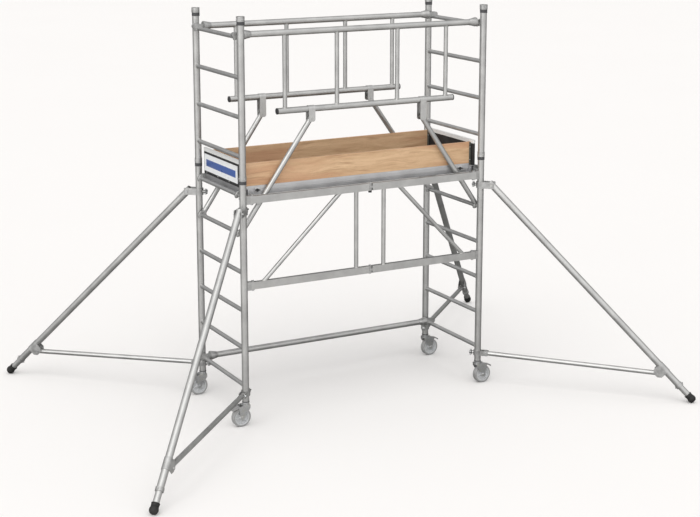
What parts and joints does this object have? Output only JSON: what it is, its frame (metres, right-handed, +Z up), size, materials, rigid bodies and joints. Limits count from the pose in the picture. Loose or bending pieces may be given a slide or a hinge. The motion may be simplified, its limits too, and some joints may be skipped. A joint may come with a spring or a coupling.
{
  "type": "frame scaffold section",
  "caption": "Mobile aluminium access tower section: plugged ladder end frames, folding girder, platform with trapdoor, toeboards, guardrails, castors and telescopic outriggers.",
  "frame": {"origin": "on the ground, under the middle of the overall box", "axes": "+X along the tower's length, +Y from its front with the girder to its back, +Z up"},
  "size_m": [3.9266, 2.8526, 2.6475],
  "materials": {
    "aluminium_tube": "satin extruded",
    "ribbed_rung": "ribbed extruded",
    "aluminium_profile": "mill",
    "cast_aluminium": "cast",
    "zinc_steel": "zinc plated",
    "dark_plastic": "matt moulded",
    "black_rubber": "matt moulded",
    "wheel_plastic": "moulded",
    "board_wood": "planed and oiled",
    "deck_plywood": "phenolic film faced",
    "black_board": "film faced",
    "white_panel": "gloss",
    "knob_metal": "worn painted casting"
  },
  "bodies": {
    "tower": {"lower_stiles": "aluminium_tube", "upper_stiles": "aluminium_tube", "lower_rungs": "ribbed_rung", "upper_rungs": "ribbed_rung", "stile_sleeves": "cast_aluminium", "lock_rings": "dark_plastic", "stile_spigots": "zinc_steel", "girder_chords": "aluminium_tube", "girder_bracing": "aluminium_tube", "girder_hinges": "cast_aluminium", "bottom_brace": "aluminium_tube", "platform_beams": "aluminium_profile", "deck_panel": "deck_plywood", "deck_hinges": "zinc_steel", "side_toeboards": "board_wood", "end_toeboards": "black_board", "toeboard_caps": "aluminium_profile", "sign_panel": "white_panel", "guardrail_frames": "aluminium_tube", "guardrail_struts": "aluminium_tube", "guardrail_brackets": "cast_aluminium", "hook_claws": "cast_aluminium", "rail_end_caps": "dark_plastic"},
    "girder_knob": {"girder_knob": "dark_plastic"},
    "trapdoor": {"trapdoor": "deck_plywood"},
    "trapdoor_handle": {"trapdoor_handle": "zinc_steel"},
    "wind_lock_left": {"wind_lock_left": "zinc_steel"},
    "wind_lock_right": {"wind_lock_right": "zinc_steel"},
    "castor_fork_front_left": {"castor_fork_front_left": "zinc_steel"},
    "castor_wheel_front_left": {"castor_wheel_front_left": "wheel_plastic"},
    "brake_pedal_front_left": {"brake_pedal_front_left": "zinc_steel"},
    "outrigger_leg_front_left": {"outrigger_leg_front_left": "aluminium_tube"},
    "outrigger_slider_front_left": {"outrigger_slider_front_left": "aluminium_tube", "outrigger_foot_front_left": "black_rubber"},
    "upper_knob_front_left": {"upper_knob_front_left": "knob_metal"},
    "lower_knob_front_left": {"lower_knob_front_left": "knob_metal"},
    "castor_fork_front_right": {"castor_fork_front_right": "zinc_steel"},
    "castor_wheel_front_right": {"castor_wheel_front_right": "wheel_plastic"},
    "brake_pedal_front_right": {"brake_pedal_front_right": "zinc_steel"},
    "outrigger_leg_front_right": {"outrigger_leg_front_right": "aluminium_tube"},
    "outrigger_slider_front_right": {"outrigger_slider_front_right": "aluminium_tube", "outrigger_foot_front_right": "black_rubber"},
    "upper_knob_front_right": {"upper_knob_front_right": "knob_metal"},
    "lower_knob_front_right": {"lower_knob_front_right": "knob_metal"},
    "castor_fork_back_left": {"castor_fork_back_left": "zinc_steel"},
    "castor_wheel_back_left": {"castor_wheel_back_left": "wheel_plastic"},
    "brake_pedal_back_left": {"brake_pedal_back_left": "zinc_steel"},
    "outrigger_leg_back_left": {"outrigger_leg_back_left": "aluminium_tube"},
    "outrigger_slider_back_left": {"outrigger_slider_back_left": "aluminium_tube", "outrigger_foot_back_left": "black_rubber"},
    "upper_knob_back_left": {"upper_knob_back_left": "knob_metal"},
    "lower_knob_back_left": {"lower_knob_back_left": "knob_metal"},
    "castor_fork_back_right": {"castor_fork_back_right": "zinc_steel"},
    "castor_wheel_back_right": {"castor_wheel_back_right": "wheel_plastic"},
    "brake_pedal_back_right": {"brake_pedal_back_right": "zinc_steel"},
    "outrigger_leg_back_right": {"outrigger_leg_back_right": "aluminium_tube"},
    "outrigger_slider_back_right": {"outrigger_slider_back_right": "aluminium_tube", "outrigger_foot_back_right": "black_rubber"},
    "upper_knob_back_right": {"upper_knob_back_right": "knob_metal"},
    "lower_knob_back_right": {"lower_knob_back_right": "knob_metal"}
  },
  "joints": [
    {"name": "castor_swivel_front_left", "type": "hinge", "parent": "tower", "child": "castor_fork_front_left", "pos_m": [-0.891, -0.354, 0.15], "axis": [0, 0, 1], "continuous": true},
    {"name": "castor_roll_front_left", "type": "hinge", "parent": "castor_fork_front_left", "child": "castor_wheel_front_left", "pos_m": [-0.926, -0.354, 0.0625], "axis": [0, 1, 0], "continuous": true},
    {"name": "outrigger_swing_front_left", "type": "hinge", "parent": "tower", "child": "outrigger_leg_front_left", "pos_m": [-0.891, -0.354, 1.42], "axis": [0, 0, 1], "range_deg": [-45, 45]},
    {"name": "outrigger_slide_front_left", "type": "slide", "parent": "outrigger_leg_front_left", "child": "outrigger_slider_front_left", "axis": [-0.5009, -0.5009, -0.7059], "range_m": [0, 0.3]},
    {"name": "upper_knob_turn_front_left", "type": "hinge", "parent": "outrigger_leg_front_left", "child": "upper_knob_front_left", "pos_m": [-0.891, -0.354, 1.42], "axis": [0.7071, 0.7071, 0], "continuous": true},
    {"name": "lower_knob_turn_front_left", "type": "hinge", "parent": "outrigger_leg_front_left", "child": "lower_knob_front_left", "pos_m": [-0.891, -0.354, 0.22], "axis": [0.7071, 0.7071, 0], "continuous": true},
    {"name": "brake_front_left", "type": "hinge", "parent": "castor_fork_front_left", "child": "brake_pedal_front_left", "pos_m": [-0.943, -0.354, 0.13], "axis": [0, -1, 0], "range_deg": [0, 6]},
    {"name": "castor_swivel_front_right", "type": "hinge", "parent": "tower", "child": "castor_fork_front_right", "pos_m": [0.891, -0.354, 0.15], "axis": [0, 0, 1], "continuous": true},
    {"name": "castor_roll_front_right", "type": "hinge", "parent": "castor_fork_front_right", "child": "castor_wheel_front_right", "pos_m": [0.926, -0.354, 0.0625], "axis": [0, 1, 0], "continuous": true},
    {"name": "outrigger_swing_front_right", "type": "hinge", "parent": "tower", "child": "outrigger_leg_front_right", "pos_m": [0.891, -0.354, 1.42], "axis": [0, 0, 1], "range_deg": [-45, 45]},
    {"name": "outrigger_slide_front_right", "type": "slide", "parent": "outrigger_leg_front_right", "child": "outrigger_slider_front_right", "axis": [0.5009, -0.5009, -0.7059], "range_m": [0, 0.3]},
    {"name": "upper_knob_turn_front_right", "type": "hinge", "parent": "outrigger_leg_front_right", "child": "upper_knob_front_right", "pos_m": [0.891, -0.354, 1.42], "axis": [-0.7071, 0.7071, 0], "continuous": true},
    {"name": "lower_knob_turn_front_right", "type": "hinge", "parent": "outrigger_leg_front_right", "child": "lower_knob_front_right", "pos_m": [0.891, -0.354, 0.22], "axis": [-0.7071, 0.7071, 0], "continuous": true},
    {"name": "brake_front_right", "type": "hinge", "parent": "castor_fork_front_right", "child": "brake_pedal_front_right", "pos_m": [0.943, -0.354, 0.13], "axis": [0, 1, 0], "range_deg": [0, 6]},
    {"name": "castor_swivel_back_left", "type": "hinge", "parent": "tower", "child": "castor_fork_back_left", "pos_m": [-0.891, 0.354, 0.15], "axis": [0, 0, 1], "continuous": true},
    {"name": "castor_roll_back_left", "type": "hinge", "parent": "castor_fork_back_left", "child": "castor_wheel_back_left", "pos_m": [-0.926, 0.354, 0.0625], "axis": [0, 1, 0], "continuous": true},
    {"name": "outrigger_swing_back_left", "type": "hinge", "parent": "tower", "child": "outrigger_leg_back_left", "pos_m": [-0.891, 0.354, 1.42], "axis": [0, 0, 1], "range_deg": [-45, 45]},
    {"name": "outrigger_slide_back_left", "type": "slide", "parent": "outrigger_leg_back_left", "child": "outrigger_slider_back_left", "axis": [-0.5009, 0.5009, -0.7059], "range_m": [0, 0.3]},
    {"name": "upper_knob_turn_back_left", "type": "hinge", "parent": "outrigger_leg_back_left", "child": "upper_knob_back_left", "pos_m": [-0.891, 0.354, 1.42], "axis": [0.7071, -0.7071, 0], "continuous": true},
    {"name": "lower_knob_turn_back_left", "type": "hinge", "parent": "outrigger_leg_back_left", "child": "lower_knob_back_left", "pos_m": [-0.891, 0.354, 0.22], "axis": [0.7071, -0.7071, 0], "continuous": true},
    {"name": "brake_back_left", "type": "hinge", "parent": "castor_fork_back_left", "child": "brake_pedal_back_left", "pos_m": [-0.943, 0.354, 0.13], "axis": [0, -1, 0], "range_deg": [0, 6]},
    {"name": "castor_swivel_back_right", "type": "hinge", "parent": "tower", "child": "castor_fork_back_right", "pos_m": [0.891, 0.354, 0.15], "axis": [0, 0, 1], "continuous": true},
    {"name": "castor_roll_back_right", "type": "hinge", "parent": "castor_fork_back_right", "child": "castor_wheel_back_right", "pos_m": [0.926, 0.354, 0.0625], "axis": [0, 1, 0], "continuous": true},
    {"name": "outrigger_swing_back_right", "type": "hinge", "parent": "tower", "child": "outrigger_leg_back_right", "pos_m": [0.891, 0.354, 1.42], "axis": [0, 0, 1], "range_deg": [-45, 45]},
    {"name": "outrigger_slide_back_right", "type": "slide", "parent": "outrigger_leg_back_right", "child": "outrigger_slider_back_right", "axis": [0.5009, 0.5009, -0.7059], "range_m": [0, 0.3]},
    {"name": "upper_knob_turn_back_right", "type": "hinge", "parent": "outrigger_leg_back_right", "child": "upper_knob_back_right", "pos_m": [0.891, 0.354, 1.42], "axis": [-0.7071, -0.7071, 0], "continuous": true},
    {"name": "lower_knob_turn_back_right", "type": "hinge", "parent": "outrigger_leg_back_right", "child": "lower_knob_back_right", "pos_m": [0.891, 0.354, 0.22], "axis": [-0.7071, -0.7071, 0], "continuous": true},
    {"name": "brake_back_right", "type": "hinge", "parent": "castor_fork_back_right", "child": "brake_pedal_back_right", "pos_m": [0.943, 0.354, 0.13], "axis": [0, 1, 0], "range_deg": [0, 6]},
    {"name": "trapdoor_hinge", "type": "hinge", "parent": "tower", "child": "trapdoor", "pos_m": [0.45, 0.2, 1.5586], "axis": [-1, 0, 0], "range_deg": [0, 95]},
    {"name": "trapdoor_handle_swing", "type": "hinge", "parent": "trapdoor", "child": "trapdoor_handle", "pos_m": [0.45, -0.14, 1.5591], "axis": [1, 0, 0], "range_deg": [0, 90]},
    {"name": "wind_lock_left_turn", "type": "hinge", "parent": "tower", "child": "wind_lock_left", "pos_m": [-0.87, -0.318, 1.537], "axis": [0, -1, 0], "range_deg": [0, 80]},
    {"name": "wind_lock_right_turn", "type": "hinge", "parent": "tower", "child": "wind_lock_right", "pos_m": [0.87, 0.318, 1.537], "axis": [0, 1, 0], "range_deg": [0, 80]},
    {"name": "girder_knob_turn", "type": "hinge", "parent": "tower", "child": "girder_knob", "pos_m": [0.025, -0.354, 1.459], "axis": [0, 0, 1], "continuous": true}
  ]
}
